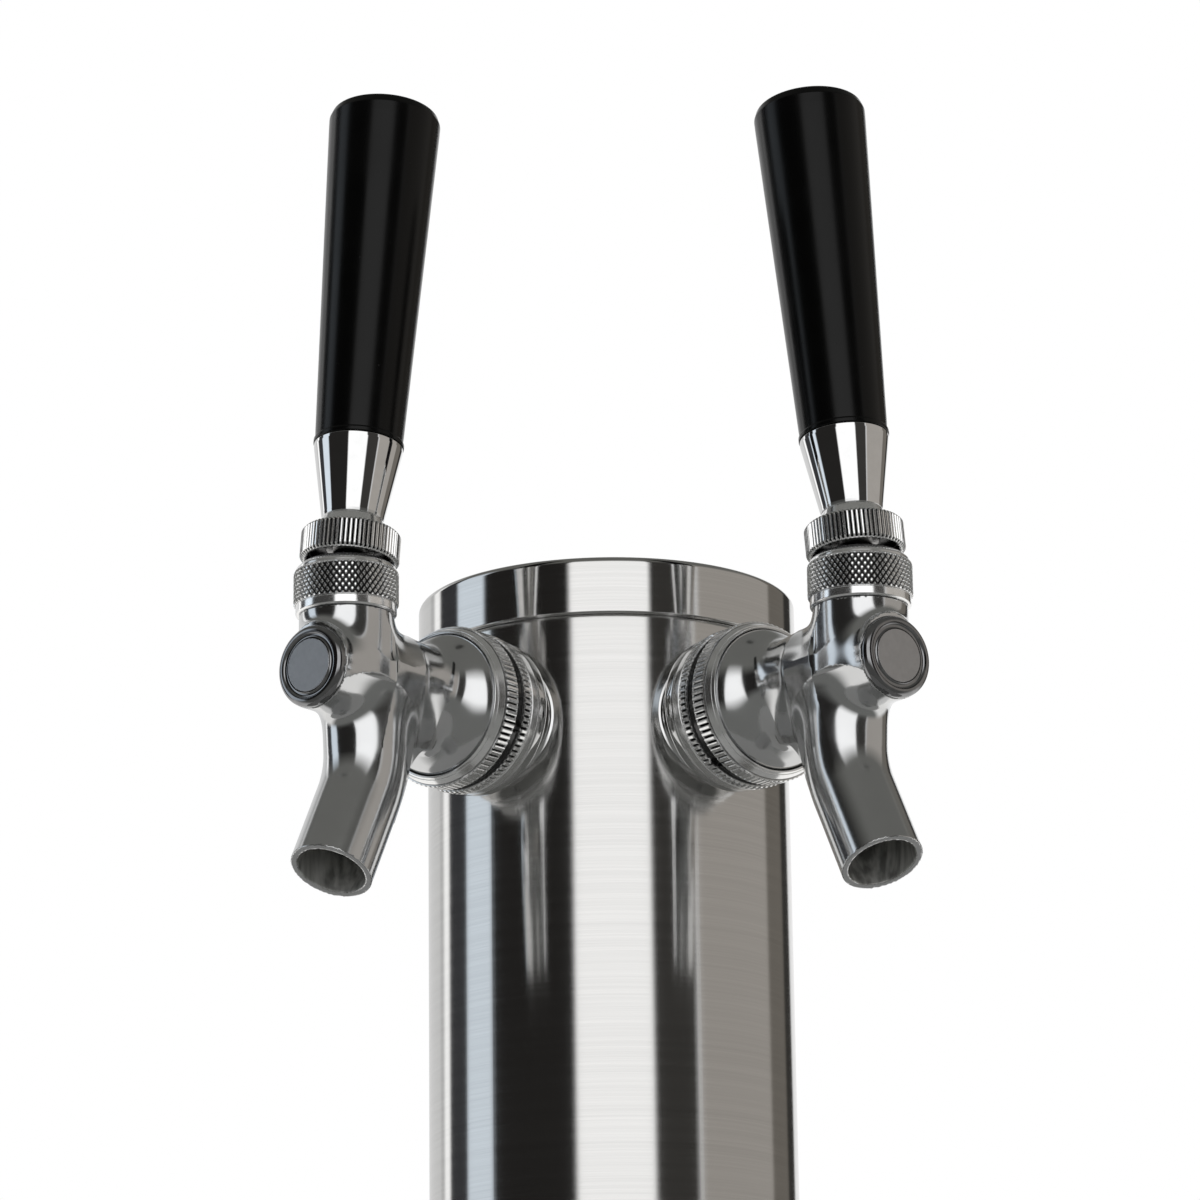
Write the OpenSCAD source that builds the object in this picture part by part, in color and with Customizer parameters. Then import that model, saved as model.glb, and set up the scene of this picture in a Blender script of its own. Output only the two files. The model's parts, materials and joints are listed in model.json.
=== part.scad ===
// Twin beer tap tower: one round column on a screw-down base, a lift-off cap, and two
// lever faucets on shanks that pass through the column wall.
// Origin: centre of the base's underside. +Z runs up the column, the faucets face -Y.
// Each faucet is drawn in its own frame: +X leaves the column along the shank's axis,
// +Z is up, and the shank's axis is at Z = 0.

/* [Column] */
// Outside diameter of the column
column_d = 76.2; // [74:0.1:77]
// Wall thickness of the column
column_wall = 1.5; // [1.2:0.1:2]
// Height of the shanks' axis above the bar top
shank_z = 322; // [240:1:420]
// Angle of each faucet from straight ahead
faucet_angle = 37; // [36:1:50]

/* [Cap] */
// Height of the cap's top above the shanks' axis
cap_rise = 32.5; // [30:0.5:45]
// Outside diameter of the cap
cap_d = 80; // [79.4:0.1:81]
// Height of the cap's skirt
cap_skirt = 12; // [9:0.5:13]

/* [Base] */
// Diameter of the base flange
base_d = 130; // [120:1:150]
// Circle that the screw holes lie on
bolt_circle_d = 108; // [104:1:112]
// Diameter of each screw hole
screw_hole_d = 6.6; // [5:0.1:7]

/* [Faucet] */
// Distance from the column's axis to the lever's pivot
pivot_x = 85; // [84:0.5:90]
// Height of the lever's pivot above the shank's axis
pivot_z = 16; // [15.8:0.1:16.4]
// How far the closed handle leans back
lever_lean = 6.5; // [3:0.5:7]
// Angle of the spout's outlet from straight down
spout_tilt = 26.7; // [20:0.1:30]
// Outside radius of the spout
spout_r = 8.3; // [8:0.1:8.6]
// Inside radius of the spout
spout_bore_r = 6.9; // [6.4:0.1:7]

/* [Handle] */
// Length of the handle above its ferrule
grip_len = 75; // [60:1:120]
// Radius of the handle's upper end
grip_top_r = 11.5; // [10:0.1:13]

/* [Hidden] */
$fn = 96;
left = -1;
right = 1;
eps = 0.01;

column_r = column_d / 2;
column_bore_r = column_r - column_wall;
cap_top_z = shank_z + cap_rise;
cap_plate = 1.6;
cap_r = cap_d / 2;
cap_bore_r = column_r + 0.35;
column_top_z = cap_top_z - cap_plate;

gasket_h = 2;
flange_h = 6;
socket_h = 14;
socket_floor_z = gasket_h + 3;
socket_r = column_r + 3.4;
duct_r = 34;
sleeve_r = column_bore_r - 0.1;
sleeve_bore_r = 27;

// Stations along the shank's axis, from the column's axis outwards
shank_back = 24;
locknut_back = 28;
locknut_front = 33.5;
head_back = 44;
head_front = 49.5;
washer_front = 51;
rim_front = 53.5;
nut_front = 56.8;
nut_back = 56.7;
nut_h = 2.2;
chamber_step = 55.5;
seat_x = 62;
barrel_step = 74;
dome_back = 55.3;
boss_front = 94.5;
plug_front = 96.5;

thread_r = 11.1;
shank_bore_r = 4;
head_r = 15.3;
chamber_r = 9;
seat_bore_r = 5.8;
nut_r = 16.7;
saddle_r = 16.2;
saddle_neck_r = 12.8;
rim_r = 15.1;
dome_r = 14.6;
nut_lip_r = 14.7;
dome_h = 6;
barrel_r = 7.6;
boss_r = 8.4;
shaft_bore_r = 4.76;
shaft_r = 4.7;
rod_r = 2.4;
plug_thread_r = 6.5;
plug_seat_x = boss_front - 6;
plug_back = boss_front - 4.5;

// Heights above the shank's axis
neck_r = 9.4;
neck_thread_r = 8.6;
neck_top = 18.6;
bonnet_bottom = 12.3;
bonnet_knurl_bottom = 14.4;
bonnet_knurl_top = 21.1;
bonnet_top = 23.2;
bonnet_r = 10.45;
bonnet_mouth_r = 7.2;
washer_top = 20.4;
ball_r = 6.2;
ball_seat_z = 12.3;
ball_seat_h = 1.5;
socket_bore_r = 7;
passage_r = 5.3;
slot_top = 10;

// Stations along the lever, from the centre of its ball
tip_arm = 14;
tip_r = 2.8;
arm_r = 1.9;
stem_r = 3.5;
lever_thread_r = 4.76;
stem_top = 31;
collar_bottom = 7.7;
collar_top = 14;
collar_r = 10;
collar_recess = 2.5;
ferrule_bottom = 16.6;
grip_bottom = 32.8;
grip_top = grip_bottom + grip_len;
insert_r = 5.6;
insert_bottom = 20;
insert_top = 42;

// The spout leaves straight down, bends forward and ends in a straight tip
spout_x = 79;
bend_z = -14;
bend_r = 24;
spout_tip = 17.4;

module at_faucet(side) {
  translate([0, 0, shank_z]) rotate([0, 0, -90 + side * faucet_angle]) children();
}

module at_lever(side) {
  at_faucet(side) translate([pivot_x, 0, pivot_z]) rotate([0, -lever_lean, 0]) children();
}

// A solid cylinder along +X between two stations
module bar(from, to, r) {
  translate([from, 0, 0]) rotate([0, 90, 0]) cylinder(h = to - from, r = r);
}

// A ring along +X between two stations
module ring(from, to, r_out, r_in) {
  difference() {
    bar(from, to, r_out);
    bar(from - 1, to + 1, r_in);
  }
}

// A hexagonal nut along +X between two stations
module hex(from, to, across, r_in) {
  difference() {
    translate([from, 0, 0]) rotate([0, 90, 0])
      cylinder(h = to - from, r = across / sqrt(3), $fn = 6);
    bar(from - 1, to + 1, r_in);
  }
}

// A ring about +Z between two heights
module collar(from, to, r_out, r_in) {
  translate([0, 0, from]) difference() {
    cylinder(h = to - from, r = r_out);
    translate([0, 0, -1]) cylinder(h = to - from + 2, r = r_in);
  }
}

// The inside or the outside of the spout, at the given radius
module spout_run(r, over) {
  tip_step = 0.05;
  turn_x = spout_x + bend_r;
  translate([spout_x, 0, bend_z]) cylinder(h = -bend_z, r = r);
  translate([turn_x, 0, bend_z]) {
    rotate([90, 0, 0]) rotate([0, 0, 180]) rotate_extrude(angle = spout_tilt)
      translate([bend_r, 0]) circle(r = r);
    rotate([0, -spout_tilt, 0]) translate([-bend_r, 0, -spout_tip - over])
      cylinder(h = spout_tip + over + 1, r = r + tip_step);
  }
}

module column_tube() {
  color("silver") difference() {
    translate([0, 0, socket_floor_z]) cylinder(h = column_top_z - socket_floor_z, r = column_r);
    cylinder(h = cap_top_z, r = column_bore_r);
    for (side = [left, right]) at_faucet(side) bar(20, column_r + 10, thread_r + 0.2);
  }
}

module column_cap() {
  edge_r = 1.4;
  color("silver") difference() {
    rotate_extrude() union() {
      translate([0, cap_top_z - cap_skirt]) square([cap_r, cap_skirt - edge_r]);
      translate([0, cap_top_z - edge_r - eps]) square([cap_r - edge_r, edge_r + eps]);
      translate([cap_r - edge_r, cap_top_z - edge_r]) circle(r = edge_r);
    }
    translate([0, 0, cap_top_z - cap_skirt - 1]) cylinder(h = cap_skirt + 1 - cap_plate, r = cap_bore_r);
  }
}

module base_flange() {
  edge_r = 3;
  color("silver") difference() {
    rotate_extrude() union() {
      translate([0, gasket_h]) square([base_d / 2, flange_h - edge_r]);
      translate([0, gasket_h]) square([base_d / 2 - edge_r, flange_h]);
      translate([base_d / 2 - edge_r, gasket_h + flange_h - edge_r]) circle(r = edge_r);
      translate([0, gasket_h]) square([socket_r, flange_h + socket_h]);
    }
    cylinder(h = 100, r = duct_r);
    translate([0, 0, socket_floor_z]) cylinder(h = 100, r = column_r);
    screw_holes();
  }
}

module base_gasket() {
  color("dimgray") difference() {
    cylinder(h = gasket_h, r = base_d / 2 - 0.5);
    translate([0, 0, -1]) cylinder(h = gasket_h + 2, r = duct_r);
    screw_holes();
  }
}

module screw_holes() {
  for (a = [45 : 90 : 315]) rotate([0, 0, a]) translate([bolt_circle_d / 2, 0, -1])
    cylinder(h = flange_h + gasket_h + 2, d = screw_hole_d);
}

module insulation_sleeve() {
  color("darkslategray") collar(socket_floor_z + 5, shank_z - 48, sleeve_r, sleeve_bore_r);
}

module shank(side) {
  color("silver") at_faucet(side) difference() {
    union() {
      bar(shank_back, head_back, thread_r);
      bar(head_back, head_front, head_r);
    }
    bar(shank_back - 1, head_front, shank_bore_r);
    bar(head_front - 3, head_front + 1, chamber_r);
  }
}

// A narrow neck on the column that opens out to the ring behind the coupling nut
module shank_flange(side) {
  neck_front = column_r + 0.4;
  ring_back = head_back - 3;
  color("silver") difference() {
    at_faucet(side) difference() {
      union() {
        bar(column_r - 6, head_back, saddle_neck_r);
        translate([neck_front, 0, 0]) rotate([0, 90, 0])
          cylinder(h = ring_back - neck_front, r1 = saddle_neck_r, r2 = saddle_r);
        bar(ring_back, head_back, saddle_r);
      }
      bar(column_r - 7, head_back + 1, thread_r);
    }
    cylinder(h = shank_z * 2, r = column_r);
  }
}

module shank_locknut(side) {
  locknut_r = 14.5;
  slot_w = 3;
  slot_deep = 1.5;
  color("silver") at_faucet(side) difference() {
    ring(locknut_back, locknut_front, locknut_r, thread_r);
    for (a = [0 : 60 : 300]) rotate([a, 0, 0])
      translate([locknut_back - 1, locknut_r - slot_deep, -slot_w / 2])
        cube([locknut_front - locknut_back - 1, slot_w, slot_w]);
  }
}

module elbow_tailpiece(side) {
  tube_r = shank_bore_r;
  bore_r = 2.6;
  turn_r = 8;
  turn_x = 22;
  stem = 30;
  barb_r = 4.8;
  barb_pitch = 3.2;
  color("silver") at_faucet(side) difference() {
    union() {
      elbow_run(tube_r, turn_x, turn_r, stem, 0);
      for (i = [0 : 2]) translate([turn_x - turn_r, 0, -turn_r - stem + 1.5 + barb_pitch * i])
        cylinder(h = 2.6, r1 = tube_r, r2 = barb_r);
    }
    elbow_run(bore_r, turn_x, turn_r, stem, 1);
  }
}

module elbow_run(r, turn_x, turn_r, stem, over) {
  bar(turn_x - eps, turn_x + 12 + over, r);
  translate([turn_x, 0, -turn_r]) rotate([90, 0, 0]) rotate([0, 0, 90])
    rotate_extrude(angle = 90) translate([turn_r, 0]) circle(r = r);
  translate([turn_x - turn_r, 0, -turn_r - stem - over]) cylinder(h = stem + over + eps, r = r);
}

module coupling_nut(side) {
  chamfer = 1.4;
  groove_x = 49.8;
  spanner_hole_r = 1.4;
  turned = side == left ? -111 : 144;
  color("silver") at_faucet(side) difference() {
    union() {
      bar(head_back, nut_front - chamfer, nut_r);
      translate([nut_front - chamfer, 0, 0]) rotate([0, 90, 0])
        cylinder(h = chamfer, r1 = nut_r, r2 = nut_r - chamfer);
    }
    bar(head_back - 1, rim_front, head_r);
    bar(head_back, nut_front + 1, nut_lip_r);
    rotate([turned, 0, 0]) translate([groove_x, 0, 0]) cylinder(h = nut_r + 1, r = spanner_hole_r);
  }
}

module coupling_washer(side) {
  color("black") at_faucet(side) ring(head_front, washer_front, dome_r, chamber_r + 0.6);
}

// Half outline of the body about the shank's axis: rim, dome, barrel and front boss
function dome_profile() = concat(
  [[0, washer_front], [rim_r, washer_front], [rim_r, rim_front], [dome_r, rim_front]],
  [for (a = [0 : 8 : 56]) [dome_r * cos(a), dome_back + dome_h * sin(a)]],
  [[barrel_r, dome_back + dome_h * sin(56)], [barrel_r, barrel_step], [boss_r, barrel_step],
    [boss_r, boss_front], [0, boss_front]]
);

module faucet_body(side) {
  color("silver") at_faucet(side) difference() {
    union() {
      rotate([0, 90, 0]) rotate_extrude() polygon(dome_profile());
      horn();
      translate([pivot_x, 0, 0]) cylinder(h = bonnet_bottom, r = neck_r);
      translate([pivot_x, 0, bonnet_bottom - 0.6])
        cylinder(h = neck_top - bonnet_bottom + 0.6, r = neck_thread_r);
      spout_run(spout_r, 0);
      gusset();
    }
    bar(washer_front - 1, chamber_step, chamber_r);
    bar(chamber_step - 1, seat_x, seat_bore_r);
    bar(seat_x - 1, boss_front + 1, shaft_bore_r);
    bar(plug_seat_x, boss_front + 1, plug_thread_r);
    spout_run(spout_bore_r, 1);
    translate([pivot_x, 0, ball_seat_z]) cylinder(h = 20, r = socket_bore_r);
    translate([pivot_x, 0, slot_top - 1]) cylinder(h = 10, r = passage_r);
    lever_slot();
  }
}

// The tapered arm from the dome to the neck, which rides higher than the shank's axis
module horn() {
  from = 57;
  to = 80;
  rise = 2;
  translate([from, 0, rise]) rotate([0, 90, 0]) cylinder(h = to - from, r1 = 7.8, r2 = neck_r);
}

// The web under the arm. It runs from the dome to the spout and fades out down the spout's back.
module gusset() {
  thick = 2.4;
  web_back = 60;
  web_low = bend_z - 10;
  fade_low = bend_z - 22;
  hollow_r = 45.6;
  translate([0, thick / 2, 0]) rotate([90, 0, 0]) linear_extrude(thick) difference() {
    polygon([[web_back, 0], [spout_x, 0], [spout_x - 1, fade_low], [spout_x - 8, web_low],
      [web_back, web_low]]);
    translate([web_back - 32.5, bend_z - 24]) circle(r = hollow_r);
  }
}

// Clears the lever's lower arm as it swings
module lever_slot() {
  half_w = 3.3;
  back = 4.5;
  front = 0.9;
  for (dx = [-back, front]) translate([pivot_x + dx, 0, 0]) cylinder(h = slot_top, r = half_w);
  translate([pivot_x - back, -half_w, 0]) cube([back + front, 2 * half_w, slot_top]);
}

module front_plug(side) {
  edge_r = 0.9;
  color("silver") at_faucet(side) difference() {
    union() {
      bar(plug_back, boss_front, plug_thread_r);
      rotate([0, 90, 0]) rotate_extrude() union() {
        translate([0, boss_front]) square([boss_r - 0.1, plug_front - boss_front - edge_r]);
        translate([0, boss_front]) square([boss_r - 0.1 - edge_r, plug_front - boss_front]);
        translate([boss_r - 0.1 - edge_r, plug_front - edge_r]) circle(r = edge_r);
      }
    }
    ring(plug_front - 0.8, plug_front + 1, 6.4, 5.2);
  }
}

module plug_oring(side) {
  color("black") at_faucet(side)
    ring(plug_seat_x + 0.1, plug_back - 0.1, plug_thread_r - 0.1, shaft_bore_r + 0.3);
}

module valve_shaft(side) {
  shaft_back = 80.5;
  cross_hole_r = 3.6;
  color("silver") at_faucet(side) difference() {
    union() {
      bar(nut_back - 0.5, shaft_back + 0.1, rod_r);
      bar(shaft_back, plug_seat_x - 1, shaft_r);
      bar(seat_x - 0.1, seat_x + 1.4, cross_hole_r);
    }
    translate([pivot_x + tip_arm * sin(lever_lean), 0, -2.2]) cylinder(h = 20, r = cross_hole_r);
  }
}

module seat_washer(side) {
  color("black") at_faucet(side) ring(nut_back + nut_h, seat_x - 0.1, seat_bore_r - 0.4, rod_r);
}

module shaft_nut(side) {
  color("silver") at_faucet(side) hex(nut_back, nut_back + nut_h, 8, rod_r);
}

module lever(side) {
  color("silver") at_lever(side) {
    sphere(r = ball_r);
    translate([0, 0, -tip_arm]) cylinder(h = tip_arm, r = arm_r);
    translate([0, 0, -tip_arm]) sphere(r = tip_r);
    cylinder(h = collar_bottom + collar_recess, r = stem_r);
    translate([0, 0, collar_bottom + collar_recess - eps])
      cylinder(h = stem_top - collar_bottom - collar_recess, r = lever_thread_r);
  }
}

module ball_washer(side) {
  color("white") at_faucet(side) translate([pivot_x, 0, ball_seat_z]) difference() {
    cylinder(h = ball_seat_h, r = socket_bore_r);
    translate([0, 0, -eps]) cylinder(h = ball_seat_h + 2 * eps, r1 = passage_r, r2 = ball_r - 0.05);
  }
}

module friction_washer(side) {
  color("white") at_faucet(side) translate([pivot_x, 0, 0])
    collar(neck_top, washer_top, neck_thread_r - 0.2, ball_r - 0.2);
}

module bonnet_nut(side) {
  rim_r_bottom = bonnet_r - 0.35;
  color("silver") at_faucet(side) translate([pivot_x, 0, 0]) rotate_extrude() polygon([
    [neck_thread_r, bonnet_bottom], [rim_r_bottom - 0.5, bonnet_bottom],
    [rim_r_bottom, bonnet_bottom + 0.5], [rim_r_bottom, bonnet_knurl_bottom - 0.2],
    [bonnet_r, bonnet_knurl_bottom], [bonnet_r, bonnet_knurl_top - 0.3],
    [bonnet_r - 0.75, bonnet_knurl_top + 0.5], [bonnet_mouth_r + 0.9, bonnet_top],
    [bonnet_mouth_r, bonnet_top], [bonnet_mouth_r, washer_top], [neck_thread_r, washer_top]
  ]);
}

module lever_collar(side) {
  rim = 0.6;
  color("silver") at_lever(side) rotate_extrude() polygon([
    [collar_r - 1, collar_bottom], [collar_r - rim, collar_bottom], [collar_r, collar_bottom + rim],
    [collar_r, collar_top - rim], [collar_r - rim, collar_top], [7, collar_top],
    [6.3, ferrule_bottom], [lever_thread_r, ferrule_bottom],
    [lever_thread_r, collar_bottom + collar_recess], [collar_r - 1, collar_bottom + collar_recess]
  ]);
}

module handle_insert(side) {
  color("goldenrod") at_lever(side) difference() {
    collar(insert_bottom, insert_top, insert_r, lever_thread_r);
    for (z = [34, 38]) collar(z, z + 1.5, insert_r + 1, insert_r - 0.5);
  }
}

module handle_ferrule(side) {
  color("silver") at_lever(side) rotate_extrude() polygon([
    [lever_thread_r + 0.2, ferrule_bottom], [6.15, ferrule_bottom], [9, grip_bottom - 0.4],
    [9, grip_bottom], [insert_r, grip_bottom], [insert_r, insert_bottom],
    [lever_thread_r + 0.2, insert_bottom]
  ]);
}

module handle_grip(side) {
  lip_r = 9.15;
  base_r = 8.9;
  round_r = 2.2;
  color("black") at_lever(side) difference() {
    rotate_extrude() union() {
      polygon([[0, grip_bottom], [lip_r, grip_bottom], [lip_r, grip_bottom + 0.9],
        [base_r, grip_bottom + 1.3], [grip_top_r, grip_top - round_r],
        [grip_top_r - round_r, grip_top], [0, grip_top]]);
      translate([grip_top_r - round_r, grip_top - round_r]) circle(r = round_r);
    }
    translate([0, 0, grip_bottom - 1]) cylinder(h = insert_top - grip_bottom + 1, r = insert_r);
  }
}

column_tube();
column_cap();
base_flange();
base_gasket();
insulation_sleeve();
shank(left);  // left_shank
shank_flange(left);  // left_shank_flange
shank_locknut(left);  // left_shank_locknut
elbow_tailpiece(left);  // left_elbow_tailpiece
coupling_nut(left);  // left_coupling_nut
coupling_washer(left);  // left_coupling_washer
faucet_body(left);  // left_faucet_body
front_plug(left);  // left_front_plug
plug_oring(left);  // left_plug_oring
valve_shaft(left);  // left_valve_shaft
seat_washer(left);  // left_seat_washer
shaft_nut(left);  // left_shaft_nut
lever(left);  // left_lever
ball_washer(left);  // left_ball_washer
friction_washer(left);  // left_friction_washer
bonnet_nut(left);  // left_bonnet_nut
lever_collar(left);  // left_lever_collar
handle_insert(left);  // left_handle_insert
handle_ferrule(left);  // left_handle_ferrule
handle_grip(left);  // left_handle_grip
shank(right);  // right_shank
shank_flange(right);  // right_shank_flange
shank_locknut(right);  // right_shank_locknut
elbow_tailpiece(right);  // right_elbow_tailpiece
coupling_nut(right);  // right_coupling_nut
coupling_washer(right);  // right_coupling_washer
faucet_body(right);  // right_faucet_body
front_plug(right);  // right_front_plug
plug_oring(right);  // right_plug_oring
valve_shaft(right);  // right_valve_shaft
seat_washer(right);  // right_seat_washer
shaft_nut(right);  // right_shaft_nut
lever(right);  // right_lever
ball_washer(right);  // right_ball_washer
friction_washer(right);  // right_friction_washer
bonnet_nut(right);  // right_bonnet_nut
lever_collar(right);  // right_lever_collar
handle_insert(right);  // right_handle_insert
handle_ferrule(right);  // right_handle_ferrule
handle_grip(right);  // right_handle_grip
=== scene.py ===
import json
import math

import bpy
import numpy as np
from mathutils import Matrix, Vector

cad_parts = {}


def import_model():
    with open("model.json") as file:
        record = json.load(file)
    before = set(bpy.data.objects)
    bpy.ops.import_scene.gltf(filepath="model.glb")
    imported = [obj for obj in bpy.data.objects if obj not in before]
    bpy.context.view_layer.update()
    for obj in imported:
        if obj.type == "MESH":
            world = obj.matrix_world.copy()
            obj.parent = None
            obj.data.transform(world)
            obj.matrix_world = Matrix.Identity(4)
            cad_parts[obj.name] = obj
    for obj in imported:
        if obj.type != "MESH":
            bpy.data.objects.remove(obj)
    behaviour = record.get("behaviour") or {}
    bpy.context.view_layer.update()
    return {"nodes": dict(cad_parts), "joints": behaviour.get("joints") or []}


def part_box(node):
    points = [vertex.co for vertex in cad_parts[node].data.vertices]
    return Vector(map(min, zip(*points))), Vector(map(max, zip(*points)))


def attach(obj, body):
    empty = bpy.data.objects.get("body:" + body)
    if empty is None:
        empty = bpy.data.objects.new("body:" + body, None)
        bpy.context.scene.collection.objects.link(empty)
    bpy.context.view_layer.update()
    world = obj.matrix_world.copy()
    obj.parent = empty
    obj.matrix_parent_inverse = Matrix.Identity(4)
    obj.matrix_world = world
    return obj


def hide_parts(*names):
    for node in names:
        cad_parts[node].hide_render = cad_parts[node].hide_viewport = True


MM = 0.001
SIDES = ("left", "right")
ALONG_X = Matrix(((0, 0, 1, 0), (0, 1, 0, 0), (-1, 0, 0, 0), (0, 0, 0, 1)))

# Sizes in mm. Each faucet has its own frame: X along its shank, Z up, the shank's axis at Z = 0.
COLUMN_WALL, CAP_PLATE, BASE_PLATE, SOCKET_WALL = 1.5, 1.6, 6, 3.4
DUCT_R, BOLT_CIRCLE_R, SCREW_R, SCREW_MOUTH_R, SHANK_HOLE_R = 34, 54, 3.3, 4.0, 11.3
PIVOT_X, PIVOT_Z, LEAN = 85, 16, math.radians(6.5)
RIM_R, DOME_R, DOME_H, DOME_BACK = 15.1, 14.6, 6.0, 55.3
NECK_R, NECK_TOP, THREAD_R, THREAD_TOP = 9.4, 12.3, 8.55, 18.6
BOSS_R, BOSS_FRONT = 8.4, 94.5
CHAMBER_R, CHAMBER_END, SEAT_R, SEAT_END, SHAFT_BORE_R = 9, 55.5, 5.8, 62, 4.76
PLUG_BORE_R, PLUG_BORE_BACK = 6.5, 88.5
BALL_BORE_R, LEVER_BORE_R, LEVER_BORE_BOTTOM = 7, 5.3, 9
WEB_R, WEB_X, WEB_Z = 45.6, 27.5, -38
SPOUT_R, BORE_R, SPOUT_X, SPOUT_TIP = 8.3, 6.9, 79, 17.4
BEND_R, BEND_Z, SPOUT_TILT = 24, -14, math.radians(26.7)


# ---------------------------------------------------------------- mesh helpers

def outline(corners, steps=5):
    """Closed outline of (r, h, fillet) corners, with each fillet turned into an arc."""
    out, n = [], len(corners)
    for i, (r, h, f) in enumerate(corners):
        p = np.array([r, h], float)
        if f <= 0:
            out.append(p)
            continue
        a = np.array(corners[i - 1][:2], float) - p
        b = np.array(corners[(i + 1) % n][:2], float) - p
        la, lb = np.linalg.norm(a), np.linalg.norm(b)
        a, b = a / la, b / lb
        half = math.acos(max(-1.0, min(1.0, float(a @ b)))) / 2
        d = min(f / math.tan(half), 0.48 * la, 0.48 * lb)
        f = d * math.tan(half)
        c = p + (a + b) / np.linalg.norm(a + b) * f / math.sin(half)
        s, e = p + a * d - c, p + b * d - c
        turn = math.acos(max(-1.0, min(1.0, float(s @ e) / f ** 2)))
        for k in range(steps + 1):
            t = k / steps
            w = (math.sin((1 - t) * turn) * s + math.sin(t * turn) * e) / math.sin(turn)
            out.append(c + w)
    return np.array(out)


def rows(points, lo, hi, step):
    """Adds points to every outline segment that lies between the heights lo and hi."""
    out = []
    for i, p in enumerate(points):
        q = points[(i + 1) % len(points)]
        out.append(p)
        inside = min(p[1], q[1]) >= lo - 1e-6 and max(p[1], q[1]) <= hi + 1e-6
        length = np.linalg.norm(q - p)
        if inside and length > 1.5 * step:
            n = int(round(length / step))
            out += [p + (q - p) * k / n for k in range(1, n)]
    return np.array(out)


def revolve(points, n, wave=None):
    """Vertices and faces of the outline turned about Z. wave(angle, r, h) gives a new radius."""
    area = 0.0
    for p, q in zip(points, np.roll(points, -1, axis=0)):
        area += p[0] * q[1] - q[0] * p[1]
    if area < 0:
        points = points[::-1]
    angle = np.arange(n) * 2 * math.pi / n
    verts, rings, at = [], [], 0
    for r, h in points:
        if r < 1e-6:
            verts.append([[0, 0, h]])
            rings.append([at] * n)
            at += 1
            continue
        rr = np.full(n, r) if wave is None else wave(angle, r, h)
        verts.append(np.stack([rr * np.cos(angle), rr * np.sin(angle), np.full(n, h)], 1))
        rings.append(list(range(at, at + n)))
        at += n
    faces = []
    for j in range(len(points)):
        a, b = rings[j], rings[(j + 1) % len(points)]
        if a[0] == a[1] and b[0] == b[1]:
            continue
        for i in range(n):
            k = (i + 1) % n
            if a[0] == a[1]:
                faces.append((a[0], b[k], b[i]))
            elif b[0] == b[1]:
                faces.append((a[i], a[k], b[0]))
            else:
                faces.append((a[i], a[k], b[k], b[i]))
    return np.concatenate([np.asarray(v, float) for v in verts]), faces


def dress(mesh, angle=35):
    """Sets area-weighted corner normals, with an edge where faces meet at more than the angle."""
    nf, nl = len(mesh.polygons), len(mesh.loops)
    normal, area = np.zeros(nf * 3), np.zeros(nf)
    mesh.polygons.foreach_get("normal", normal)
    mesh.polygons.foreach_get("area", area)
    normal = normal.reshape(-1, 3)
    count, vertex = np.zeros(nf, int), np.zeros(nl, int)
    mesh.polygons.foreach_get("loop_total", count)
    mesh.loops.foreach_get("vertex_index", vertex)
    face = np.repeat(np.arange(nf), count)
    order = np.argsort(vertex, kind="stable")
    start = np.searchsorted(vertex[order], vertex)
    size = np.bincount(vertex, minlength=len(mesh.vertices))[vertex]
    total = np.zeros((nl, 3))
    limit = math.cos(math.radians(angle))
    for k in range(int(size.max())):
        has = size > k
        other = face[order[np.minimum(start + k, nl - 1)]]
        near = has & ((normal[face] * normal[other]).sum(1) > limit)
        total += np.where(near, area[other], 0)[:, None] * normal[other]
    length = np.linalg.norm(total, axis=1, keepdims=True)
    total = np.where(length > 0, total / np.maximum(length, 1e-30), normal[face])
    mesh.polygons.foreach_set("use_smooth", np.ones(nf, bool))
    mesh.normals_split_custom_set(total.tolist())
    mesh.update()


def piece(name, verts, faces, place, material, body, node, slot, angle=35, normals=None, bake=False):
    """A mesh object from millimetre vertices, which stands for the CAD node and rides its body.
    A baked one keeps its vertices in the frame itself, so its bounding box is tight."""
    mesh = bpy.data.meshes.new(name)
    verts = np.asarray(verts) * MM
    if bake:
        turn = np.array(place.to_3x3())
        verts = verts @ turn.T + np.array(place.translation)
        normals = None if normals is None else normals @ turn.T
        place = Matrix()
    mesh.from_pydata(verts.tolist(), [], [tuple(f) for f in faces])
    mesh.validate()
    if normals is None:
        dress(mesh, angle)
    else:
        mesh.polygons.foreach_set("use_smooth", np.ones(len(mesh.polygons), bool))
        mesh.normals_split_custom_set_from_vertices(normals.tolist())
    obj = bpy.data.objects.new(name, mesh)
    bpy.context.scene.collection.objects.link(obj)
    obj.matrix_world = place
    mesh.materials.append(material)
    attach(obj, body)
    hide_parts(node)
    return obj


def drill(obj, cutters, angle=35):
    """Cuts revolved tools, given as (outline, place), out of the object."""
    tools = []
    for points, place in cutters:
        mesh = bpy.data.meshes.new("tool")
        v, f = revolve(np.array(points, float), 64)
        mesh.from_pydata((v * MM).tolist(), [], f)
        tool = bpy.data.objects.new("tool", mesh)
        bpy.context.scene.collection.objects.link(tool)
        tool.matrix_world = place
        m = obj.modifiers.new("cut", "BOOLEAN")
        m.operation, m.solver, m.object = "DIFFERENCE", "EXACT", tool
        tools.append(tool)
    bpy.context.view_layer.update()
    cut = bpy.data.meshes.new_from_object(obj.evaluated_get(bpy.context.evaluated_depsgraph_get()))
    obj.modifiers.clear()
    old, obj.data = obj.data, cut
    bpy.data.meshes.remove(old)
    for tool in tools:
        bpy.data.objects.remove(tool)
    dress(cut, angle)


# ---------------------------------------------------------------- places

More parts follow.
